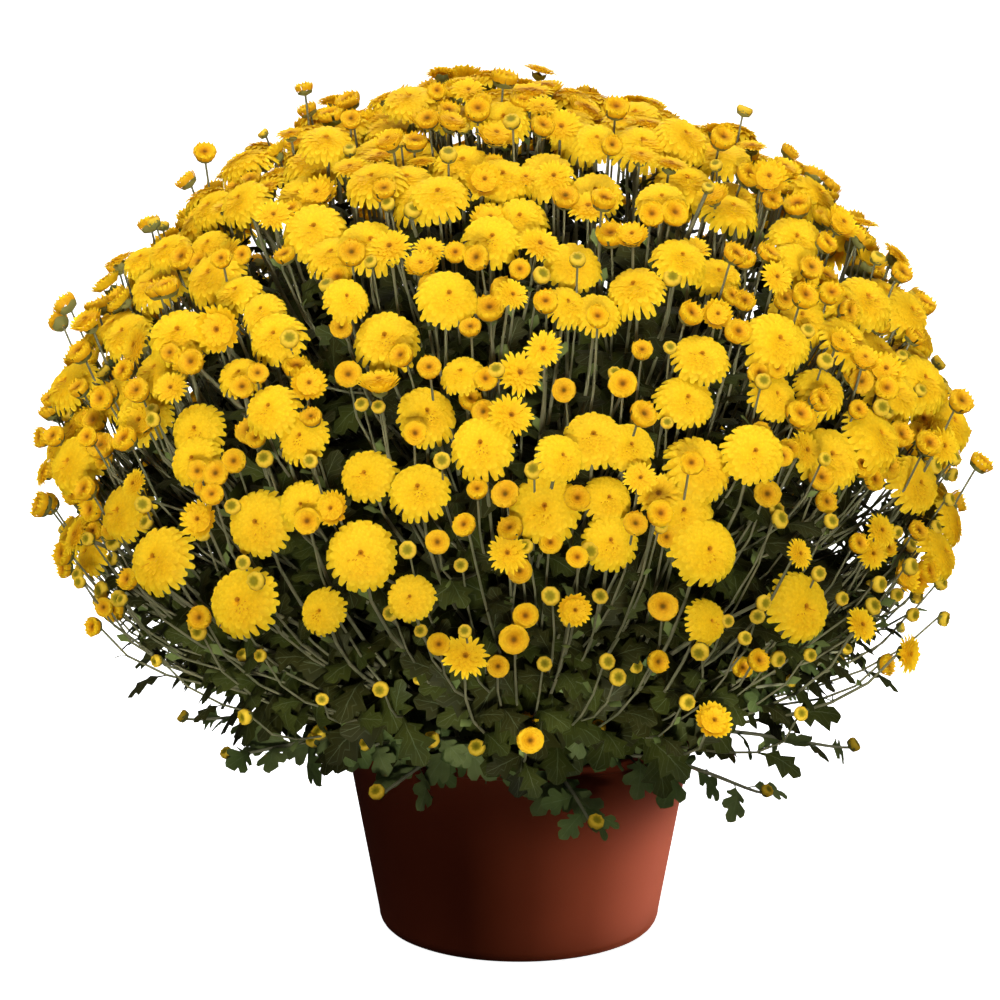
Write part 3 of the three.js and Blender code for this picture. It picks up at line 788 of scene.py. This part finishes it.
GREENS = [  # a colour for each strip of the pattern: the first two leaf tones are darkened as painted shade, and the next two leaf tones and the last strip, the low shoots', are lightened as painted light
    (42, 42, 9), (52, 57, 15), (90, 106, 56), (106, 118, 68),
    (114, 111, 82), (124, 122, 66), (100, 112, 60), (150, 148, 118),
]
VEIN_COLOUR, VEIN_SHARE = (0.34, 0.40, 0.22, 1), 0.14
RIB_WIDTH, SIDE_VEINS, VEIN_SLANT = 0.018, 38.0, -26.0
GREEN_SHADE = [(0.3, (0.72, 0.76, 0.70, 1)), (0.72, (1.12, 1.10, 1.05, 1))]


def green_material():
    look = new_look("stems_and_leaves")
    number = look.number
    strip, cross = look.pattern_numbers()
    base = look.ramp(strip, painted([(i / TILES, *c) for i, c in enumerate(GREENS)]), "CONSTANT")
    along = number("FRACT", number("MULTIPLY", strip, float(TILES)))
    across = number("ABSOLUTE", number("SUBTRACT", cross, 0.5))
    slant = number("MULTIPLY_ADD", along, SIDE_VEINS, number("MULTIPLY", across, VEIN_SLANT))
    ridges = number("GREATER_THAN", number("SINE", slant), 0.93)
    rib = number("LESS_THAN", across, RIB_WIDTH)
    is_leaf = number("LESS_THAN", strip, STEM_TILE / TILES)
    veins = number("MULTIPLY", number("MAXIMUM", rib, number("MULTIPLY", ridges, 0.45)), is_leaf)
    colour = look.mixed(veins, base, look.mixed(VEIN_SHARE, base, VEIN_COLOUR))
    patchy = look.noise(60.0, 4.0)
    colour = look.mixed(1.0, colour, look.ramp(patchy, GREEN_SHADE), "MULTIPLY")
    height = number("ADD", look.noise(500.0), veins)
    return look.finish(colour, patchy, (0.5, 0.75), (height, 0.35, 0.0005), 0.12)


def pot_material():
    look = new_look("pot_plastic")
    broad = look.noise(9.0, 3.0)
    tint = look.ramp(broad, painted([(0.3, 106, 44, 24), (0.7, 116, 50, 28)]))
    return look.finish(tint, broad, (0.50, 0.62), (look.noise(900.0), 0.12, 0.0003), 0.05)


MIX_COLOURS = [(0.25, 26, 18, 12), (0.5, 58, 42, 30), (0.68, 84, 64, 46), (0.76, 190, 180, 164)]


def mix_material():
    look = new_look("potting_mix")
    clods = look.noise(160.0, 6.0)
    tint = look.ramp(clods, painted(MIX_COLOURS))
    return look.finish(tint, clods, (0.8, 1.0), (clods, 0.8, 0.002), 0.5)


# ---------- pot and potting mix ----------


def pot_profile():
    """The wall from the middle of the base, round the lip, to the middle of the floor inside."""
    under_lip, lip_foot = RIM_RADIUS - LIP_WIDTH, POT_HEIGHT - LIP_HEIGHT
    corner = [
        (FOOT_RADIUS + (WALL_FOOT_RADIUS - FOOT_RADIUS) * math.sin(a), CORNER_HEIGHT * (1 - math.cos(a)))
        for a in np.linspace(0.0, math.pi / 2, 7)
    ]
    lip = [
        (under_lip - 0.1, lip_foot), (under_lip + 0.9, lip_foot + 0.4),
        (RIM_RADIUS - 1.0, lip_foot + 1.2), (RIM_RADIUS, lip_foot + 2.6),
        (RIM_RADIUS, POT_HEIGHT - 1.6), (RIM_RADIUS - 0.6, POT_HEIGHT - 0.4), (RIM_RADIUS - 1.6, POT_HEIGHT),
    ]
    inside = [
        (under_lip - WALL + 1.0, POT_HEIGHT), (under_lip - WALL, lip_foot),
        (WALL_FOOT_RADIUS - WALL, CORNER_HEIGHT), (FOOT_RADIUS - 1, WALL), (0.0, WALL),
    ]
    return [(0.0, 0.0)] + corner + lip + inside


POT_SIDES, DRAIN_SIDES = 144, 24
SHARPEST = math.radians(38)  # edges that bend more than this stay sharp


def make_pot():
    points, faces, _ = turned([(radius, height, 0) for radius, height in pot_profile()], POT_SIDES)
    mesh = bpy.data.meshes.new("pot_body")
    mesh.from_pydata((points * MM).tolist(), [], faces[:, ::-1].tolist())
    work = bmesh.new()
    work.from_mesh(mesh)
    bmesh.ops.remove_doubles(work, verts=work.verts, dist=1e-6)
    bmesh.ops.dissolve_degenerate(work, edges=work.edges, dist=1e-7)
    bmesh.ops.recalc_face_normals(work, faces=work.faces)
    work.to_mesh(mesh)
    work.free()
    return new_object("pot_body", mesh)


def finish_pot(body, material):
    """Cuts the drain holes, smooths the pot and puts it in its place."""
    cutters = []
    for i in range(DRAIN_COUNT):
        spot = outward_at(360 * (i + 0.5) / DRAIN_COUNT) * DRAIN_RING * MM
        bpy.ops.mesh.primitive_cylinder_add(
            vertices=DRAIN_SIDES, radius=DRAIN_RADIUS * MM, depth=0.02, location=Vector(spot)
        )
        cutters.append(bpy.context.object)
        cut = body.modifiers.new("drain", "BOOLEAN")
        cut.operation = "DIFFERENCE"
        cut.object = cutters[-1]
        cut.solver = "EXACT"
    graph = bpy.context.evaluated_depsgraph_get()
    solid = bpy.data.meshes.new_from_object(body.evaluated_get(graph))
    body.modifiers.clear()
    body.data = solid
    for cutter in cutters:
        bpy.data.objects.remove(cutter)
    solid.materials.clear()
    solid.materials.append(material)
    solid.shade_smooth()
    solid.set_sharp_from_angle(angle=SHARPEST)
    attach(body, "root")
    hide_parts("pot")


MIX_GAP = 0.4  # between the mix and the pot
MIX_RINGS, MIX_SIDES, CRUMBLE = 44, 120, 1.1
CRUMBS, CRUMB_SMALLEST, CRUMB_LARGEST = 260, 1.0, 3.2
CRUMB = [(0.0, -0.6, 0.1), (0.8, -0.3, 0.3), (1.0, 0.2, 0.6), (0.5, 0.7, 0.8), (0.0, 0.8, 0.9)]


def make_mix(material):
    """The potting mix: a crowned, crumbly surface that fills the pot, with loose crumbs on it."""
    piece = Piece()
    share = (MIX_EDGE - CORNER_HEIGHT) / (POT_HEIGHT - LIP_HEIGHT - CORNER_HEIGHT)
    inner_top = RIM_RADIUS - LIP_WIDTH - WALL
    inner_foot = WALL_FOOT_RADIUS - WALL
    edge = inner_foot + share * (inner_top - inner_foot) - MIX_GAP
    rings = np.linspace(0, 1, MIX_RINGS) ** 0.8
    floor = WALL + MIX_GAP
    profile = [(0.0, floor, 0.1), (FOOT_RADIUS - 2, floor, 0.2)]
    profile.append((inner_foot - MIX_GAP, CORNER_HEIGHT + 0.5, 0.3))
    profile += [(edge * r, MIX_EDGE + MIX_CROWN * (1 - r**2), 0.4 + 0.5 * r) for r in rings[:0:-1]]
    profile.append((0.0, MIX_EDGE + MIX_CROWN, 0.95))
    points, faces, patterns = turned(profile, MIX_SIDES)
    top = (points[:, 2] > MIX_EDGE - 1) & (np.hypot(points[:, 0], points[:, 1]) < edge - 1)
    points[top, 2] += rng.normal(0, CRUMBLE, top.sum())
    piece.add(points, faces, patterns)
    spread = edge * np.sqrt(rng.uniform(0, 0.94, CRUMBS))
    turn = rng.uniform(0, 2 * math.pi, CRUMBS)
    height = MIX_EDGE + MIX_CROWN * (1 - (spread / edge) ** 2)
    centres = np.stack([spread * np.cos(turn), spread * np.sin(turn), height], 1)
    axes = unit(rng.normal(0, 1, (CRUMBS, 3)) + UP)
    scales = rng.uniform(CRUMB_SMALLEST, CRUMB_LARGEST, (CRUMBS, 1)) * rng.uniform(0.6, 1.3, (CRUMBS, 3))
    tones = rng.uniform(0, 0.9, CRUMBS)
    add_toned(piece, turned(CRUMB, 6), frames_for(axes, turn), centres, scales, tones)
    piece.make("potting_mix_surface", material, "potting_mix", ["potting_mix"])


# ---------- camera, lights and floor ----------

PIXEL = 0.70 * MM  # the size that a pixel of the 1000 pixel frame has at the dome's centre
FRAME_PIXELS, AIM_RIGHT, AIM_DOWN = 1000, 5, 30  # pixels; the camera aims this far off the dome's centre
CAMERA_DISTANCE = 2.66
CAMERA_PITCH = math.radians(12.0)
SENSOR = 36.0
DISC = (None, 180)
PLANT_BAND, SKIRT_BAND, POT_BAND = (0.44, 10), (0.05, 7), (0.10, 5)
LAMPS = [  # name, place, height that it faces on the axis, width, watts, height of a strip and its spread
    ("key", (1.0, -1.45, 2.5), 0.36, 1.2, 12.0, DISC),
    ("left", (-1.1, -1.35, 2.5), 0.36, 1.2, 13.0, DISC),
    ("top", (0.0, -0.5, 2.9), 0.35, 1.8, 34.0, DISC),
    ("back", (0.0, 1.9, 2.2), 0.36, 1.6, 26.0, DISC),
    ("front", (0.0, -2.6, 0.455), 0.455, 1.3, 2.05, PLANT_BAND),
    ("behind", (0.0, 2.6, 0.455), 0.455, 1.3, 2.05, PLANT_BAND),
    ("skirt", (0.0, -1.15, 0.215), 0.215, 0.7, 0.15, SKIRT_BAND),
]
POT_LAMPS = [(70, 0.0638), (95, 0.0924), (120, 0.1452)]  # degrees round from the front, and watts
POT_LAMP_DISTANCE, POT_LAMP_HEIGHT, POT_LAMP_WIDTH = 1.1, 0.05, 0.3
FLOOR_SIZE, FLOOR_GLOW, GLOW_REACH = 60.0, (0.97, 1.0), (0.2, 1.2)
SKY_LIGHT, SKY_HEIGHTS = (0.03, 0.80), (0.1, 0.75)


def look_along(thing, direction):
    thing.rotation_mode = "QUATERNION"
    thing.rotation_quaternion = direction.to_track_quat("-Z", "Y")


def make_camera():
    data = bpy.data.cameras.new("camera")
    data.sensor_width = SENSOR
    data.lens = CAMERA_DISTANCE / PIXEL * SENSOR / FRAME_PIXELS
    data.clip_start, data.clip_end = 0.05, 100
    camera = new_object("camera", data)
    back = Vector((0, -math.cos(CAMERA_PITCH), math.sin(CAMERA_PITCH)))
    upward = Vector((0, math.sin(CAMERA_PITCH), math.cos(CAMERA_PITCH)))
    aim = Vector(DOME_CENTRE * MM) + Vector((1, 0, 0)) * AIM_RIGHT * PIXEL - upward * AIM_DOWN * PIXEL
    camera.location = aim + back * CAMERA_DISTANCE
    look_along(camera, -back)
    bpy.context.scene.camera = camera


def add_lamp(name, place, facing_height, width, watts, strip):
    """A soft lamp: a disc, or a strip whose beam is narrowed by a grid."""
    height, spread = strip
    data = bpy.data.lights.new(name, "AREA")
    data.shape = "RECTANGLE" if height else "DISK"
    data.size = width
    data.size_y = height or width
    data.energy = watts
    data.spread = math.radians(spread)
    lamp = new_object(name, data)
    lamp.location = place
    look_along(lamp, Vector((0, 0, facing_height)) - Vector(place))


def make_floor():
    bpy.ops.mesh.primitive_plane_add(size=FLOOR_SIZE, location=(0, 0, -0.0005))
    floor = bpy.context.object
    floor.name = "floor"
    look = new_look("floor")
    away = look.node("VectorMath", {0: look.place()}, operation="LENGTH").outputs["Value"]
    look.fill(look.shader, {
        "Base Color": (0.9, 0.9, 0.9, 1),
        "Roughness": 0.9,
        "Specular IOR Level": 0.0,
        "Emission Color": (1, 1, 1, 1),
        "Emission Strength": look.rescaled(away, *FLOOR_GLOW, *GLOW_REACH),
    })
    floor.data.materials.append(look.owner)
    floor.visible_diffuse = False
    floor.visible_glossy = False


def make_world():
    """White behind the plant, and only a little light from all round, more of it from above."""
    world = bpy.data.worlds.new("studio")
    bpy.context.scene.world = world
    look = Look(world)
    seen = look.nodes["Background"]
    look.fill(seen, {"Color": (1, 1, 1, 1), "Strength": 1.0})
    height = look.node("SeparateXYZ", {0: look.place("Generated")}).outputs["Z"]
    around = look.node("Background", {"Strength": look.rescaled(height, *SKY_LIGHT, *SKY_HEIGHTS)})
    by_camera = look.node("LightPath", {}).outputs["Is Camera Ray"]
    both = look.node("MixShader", {0: by_camera, 1: around.outputs[0], 2: seen.outputs[0]})
    look.fill(look.nodes["World Output"], {"Surface": both.outputs[0]})


def make_studio():
    make_camera()
    make_floor()
    make_world()
    for lamp in LAMPS:
        add_lamp(*lamp)
    for turn, watts in POT_LAMPS:
        place = outward_at(turn - 90) * POT_LAMP_DISTANCE + UP * POT_LAMP_HEIGHT
        add_lamp(f"kick_{turn}", place, POT_LAMP_HEIGHT, POT_LAMP_WIDTH, watts, POT_BAND)
    view = bpy.context.scene.view_settings
    view.view_transform = "Standard"
    view.look = "None"


# ---------- the whole plant ----------

UNDERSIDE = {"large": 0.36, "mid": 0.52, "small": 0.80, "bud": 0.86}  # depth of a head, in radii
STALK_RADIUS = {"large": 1.2, "mid": 1.05, "small": 0.88, "bud": 0.8}
CUPS = {  # radius, bottom and top
    "large": cup_template(0.36, -0.36, -0.12),
    "mid": cup_template(0.46, -0.52, -0.18),
    "small": cup_template(0.86, -0.82, -0.34),
    "bud": cup_template(0.97, -0.88, -0.20),
}
CUP_TONE, CUP_TONE_STEP = 0.2, 0.6
LEAVES = {  # droop, fold and wave
    "fine": leaf_template("fine", 0.22, 0.25, 0.02),
    "coarse": leaf_template("coarse", 0.16, 0.3, 0.0),
    "bract": leaf_template("bract", 0.05, 0.2, 0.0),
}
STEM_STEPS, STEM_SIDES = 15, 8
STEM_RADII = [0, 0.5, 0.8, 1], [3.8, 2.6, 1.7, 1.25]  # shares of the way up, and the radius there
ROOT_DEPTH, ROOT_FLARE = 8.0, 1.15
STALK_SPAN = [(0.5, 0.85), (0.36, 0.75), (0.26, 0.62), (0.12, 0.5)]  # where stalks leave, for each tier
STALK_STEPS, STALK_SIDES, STALK_TAPER = 7, 5, (1.35, 0.9)
INNER_LEAVES, INNER_SHORTEST, INNER_LONGEST = 20, 44, 68  # broad leaves on each main stem
INNER_STEPS = (3, 14)
LEAF_STEPS = [  # step along the stalk, shortest, longest, share of stalks, template, lean off the stalk
    (1, 36, 54, 0.95, "coarse", 1.3),
    (2, 34, 50, 1.0, "coarse", 1.2),
    (3, 28, 44, 1.0, "coarse", 1.1),
    (4, 20, 34, 0.85, "coarse", 1.0),
    (5, 8, 15, 0.6, "bract", 0.8),
    (4, 8, 14, 0.3, "bract", 0.9),
]
LOWEST_LEAF = POT_HEIGHT + 30
SHOOT_TURNS = (-15, -9, -3, 4, 14)  # degrees between a stem and its extra low shoots
SHOOT_STEPS, SHOOT_SIDES, SHOOT_RADII = 13, 6, (1.9, 0.9)
SHOOT_SMALL = 0.25  # the share of the extra shoots that end in a small head
SHOOT_REACHES, SHOOT_BASE, SHOOT_SLOPE, SHOOT_SPREAD = (160, 262), 160, 0.85, 50  # the farther, the higher
SKIRT_STEPS, OVER_RIM = range(3, 11), 7  # steps of a shoot that have a leaf; the lower ones droop more
SKIRT_LENGTHS, SKIRT_MISSING = (28, 42), 0.2

Heads = namedtuple("Heads", "kind at axis radius stem")


def add_with_cup(petals, greens, kind, template, place, tones):
    """Adds copies of a head, each with the green cup under it."""
    add_toned(petals, template, *place, tones)
    add_toned(greens, CUPS[kind], *place, np.full(len(tones), CUP_TONE), CUP_TONE_STEP)


def add_heads(petals, greens, heads, own, templates):
    for kind, look in LOOK.items():
        mine = np.flatnonzero(own & (heads.kind == kind))
        variants = templates[kind]
        pick = mine % len(variants)
        # large heads keep their -Y half, with its painted shade, turned down
        if kind == "large":
            roll = rng.normal(0, 0.3, len(mine))
        else:
            roll = rng.uniform(0, 2 * math.pi, len(mine))
        tones = rng.uniform(*look["tone"], len(mine))
        squash = 1 + rng.uniform(-0.06, 0.06, (len(mine), 3))
        for v, template in enumerate(variants):
            chosen = pick == v
            index = mine[chosen]
            rotations = frames_for(heads.axis[index], roll[chosen])
            place = rotations, heads.at[index], heads.radius[index, None] * squash[chosen]
            add_with_cup(petals, greens, kind, template, place, tones[chosen])


def stalk_paths(starts, ends, axes):
    """Stalks that leave the stem outwards, rise in a bow and bend at the neck to meet their heads."""
    chord = ends - starts
    length = np.linalg.norm(chord, axis=1)[:, None]
    level = chord * (1, 1, 0)
    knee = starts + unit(chord / length + level / length * 0.55) * length * 0.42
    neck = ends - unit(axes * 0.55 + UP * 0.75) * length * 0.30
    return bezier(starts, knee, neck, ends, np.linspace(0, 1, STALK_STEPS))


def grow_stem(stem, heads, own, greens):
    """A main stem up to the head nearest its top, and a stalk from it to each of its other heads."""
    mine = np.flatnonzero(own)
    under = np.array([UNDERSIDE[k] for k in heads.kind[mine]]) * heads.radius[mine]
    ends = heads.at[mine] - heads.axis[mine] * under[:, None]
    first = int(np.argmin(np.linalg.norm(heads.at[mine] - stem["top"], axis=1)))
    curve = stem_curve(stem, ends[first])
    share = np.linspace(0, 1, STEM_STEPS)
    main = bezier(*curve, share)
    radius = np.interp(share, *STEM_RADII)
    main = np.concatenate([main[:, :1] - UP * ROOT_DEPTH, main], 1)
    radius = np.concatenate([radius[:1] * ROOT_FLARE, radius])
    add_tubes(greens, main, radius, STEM_SIDES, STEM_TILE)
    add_inner_leaves(main, greens)
    rest = np.delete(np.arange(len(mine)), first)
    t = rng.uniform(*STALK_SPAN[stem["tier"]], len(rest))
    paths = stalk_paths(bezier(*curve, t)[0], ends[rest], heads.axis[mine[rest]])
    thick = np.array([STALK_RADIUS[k] for k in heads.kind[mine[rest]]])[:, None]
    taper = np.linspace(*STALK_TAPER, STALK_STEPS)
    add_tubes(greens, paths, thick * taper, STALK_SIDES, STEM_TILE)
    grow_stalk_leaves(paths, greens)


def add_inner_leaves(main, greens):
    """Broad leaves along a main stem, which close the inside of the plant; their very dark tones are painted
    shade.
    """
    steps = rng.integers(*INNER_STEPS, INNER_LEAVES)
    roots = main[0, steps]
    directions = unit(rng.normal(0, 1, roots.shape) * (1, 1, 0.5))
    normals = unit(UP + rng.normal(0, 0.4, roots.shape))
    lengths = rng.uniform(INNER_SHORTEST, INNER_LONGEST, INNER_LEAVES)
    tiles = rng.integers(*PAINTED_SHADE_TILES, INNER_LEAVES)
    add_leaves(greens, LEAVES["coarse"], roots, directions, normals, lengths, tiles)


def grow_stalk_leaves(paths, greens):
    """Leaves on the stalks: small bracts near the heads and larger lobed leaves further in."""
    for step, low, high, share, form, lean in LEAF_STEPS:
        pick = (rng.random(len(paths)) < share) & (paths[:, step, 2] > LOWEST_LEAF)
        roots = paths[pick, step]
        along = unit(paths[pick, step + 1] - paths[pick, step - 1])
        sideways = unit(np.cross(along, rng.normal(0, 1, roots.shape)))
        directions = unit(along + sideways * lean)
        normals = unit(along * 1.2 - sideways * 0.5 + UP * 0.4)
        lengths = rng.uniform(low, high, len(roots))
        if form == "bract":
            tiles = np.full(len(roots), BRACT_TILE)
        else:
            # the lobed leaves take the dark tones, which are painted shade
            tiles = rng.integers(*PAINTED_SHADE_TILES, len(roots))
        add_leaves(greens, LEAVES[form], roots, directions, normals, lengths, tiles)


def grow_shoot(root, azimuth, reach, height, kind, greens, petals, templates):
    """A low shoot that leans out over the rim, with leaves along it and a head at its end."""
    out = outward_at(azimuth)
    start = root + UP * rng.uniform(4, 14)
    knee_height = 0.7 * (POT_HEIGHT + SHOOT_KNEE_LIFT) + 0.3 * height + 2
    knee = out * (SHOOT_KNEE - 14) + UP * knee_height
    tip = out * reach + UP * height
    axis = unit(out * 0.75 + UP * 0.55 + rng.normal(0, 0.12, 3))
    neck = tip - (out * 0.8 + UP * 0.1) * 30
    path = bezier(start, knee, neck, tip, np.linspace(0, 1, SHOOT_STEPS))
    # the shoot's pale strip is painted light on a stem that hangs in shade
    add_tubes(greens, path, np.linspace(*SHOOT_RADII, SHOOT_STEPS), SHOOT_SIDES, SHOOT_TILE)
    add_shoot_head(greens, petals, templates, tip, axis, kind)
    for step in SKIRT_STEPS:
        over_rim = step < OVER_RIM
        if not over_rim and rng.random() < SKIRT_MISSING:
            continue
        along = unit(path[:, step + 1] - path[:, step - 1])
        sideways = unit(np.cross(along, UP)) * (1 if step % 2 else -1)
        droop = rng.uniform(0.15, 0.85) if over_rim else rng.uniform(-0.1, 0.5)
        direction = unit(along * 0.6 + sideways * rng.uniform(0.4, 1.0) - UP * droop)
        normal = unit(UP * 0.6 + out * 0.6 + rng.normal(0, 0.45, (1, 3)))
        length = rng.uniform(*SKIRT_LENGTHS, 1) * (1 - 0.05 * abs(step - 5))
        # the lighter leaf tones are painted light on leaves that hang in shade
        tile = rng.integers(*SKIRT_PAINTED_LIGHT_TILES, 1)
        add_leaves(greens, LEAVES["fine"], path[:, step], direction, normal, length, tile)


def add_shoot_head(greens, petals, templates, tip, axis, kind):
    look = LOOK[kind]
    radius = rng.uniform(*look["size"]) * 0.95
    rotation = frames_for(axis[None], rng.uniform(0, 6.28, 1))
    place = rotation, (tip + axis * UNDERSIDE[kind] * radius)[None], np.array([[radius]])
    add_with_cup(petals, greens, kind, templates[kind][0], place, rng.uniform(*look["tone"], 1))


def extra_shoots(azimuth):
    """The azimuth, reach, height and kind of head of each extra low shoot of a stem."""
    shoots = []
    for turn in SHOOT_TURNS:
        reach = rng.uniform(*SHOOT_REACHES)
        height = SHOOT_BASE + SHOOT_SLOPE * max(0, reach - 185) + rng.uniform(0, SHOOT_SPREAD)
        kind = "small" if rng.random() < SHOOT_SMALL else "bud"
        shoots.append((azimuth + turn + rng.uniform(-4, 4), reach, height, kind))
    return shoots


def build_plant():
    stems = lay_stems()
    bloom_at, bloom_radius, bloom_stem, bloom_parent = lay_blooms(stems)
    bloom_at = settled(bloom_at, bloom_radius, bloom_parent)
    outer = [i for i, stem in enumerate(stems) if stem["tier"] == len(RINGS) - 1]
    shoot_tips = {i: SHOOT_HEIGHT + draws.between(-18, 14) for i in outer}
    kinds, spots, radii, stem_of, sunk = lay_heads(bloom_at, bloom_stem)
    heads = Heads(kinds, *stand_heads(kinds, spots, sunk), radii, stem_of)
    templates = {
        "large": [large_head() for _ in range(5)],
        "mid": [mid_head(i % 2 == 0) for i in range(4)],
        "small": [small_head() for _ in range(3)],
        "bud": [bud_head()],
    }
    petal_look, green_look = petal_material(), green_material()
    for index, stem in enumerate(stems):
        own = heads.stem == index
        petals, greens = Piece(), Piece()
        add_heads(petals, greens, heads, own, templates)
        grow_stem(stem, heads, own, greens)
        if index in shoot_tips:
            shoots = [(stem["azimuth"] + SHOOT_TURN, SHOOT_REACH + 10, shoot_tips[index], "bud")]
            for shoot in shoots + extra_shoots(stem["azimuth"]):
                grow_shoot(stem["root"], *shoot, greens, petals, templates)
        label = f"{index + 1:02d}"
        petals.make(f"blooms_{label}", petal_look, "petals", [f"bloom_bunch_{label}"])
        greens.make(f"stems_and_leaves_{label}", green_look, "stems_and_leaves", [f"leafy_stem_{label}"])


make_studio()
finish_pot(make_pot(), pot_material())
make_mix(mix_material())
build_plant()
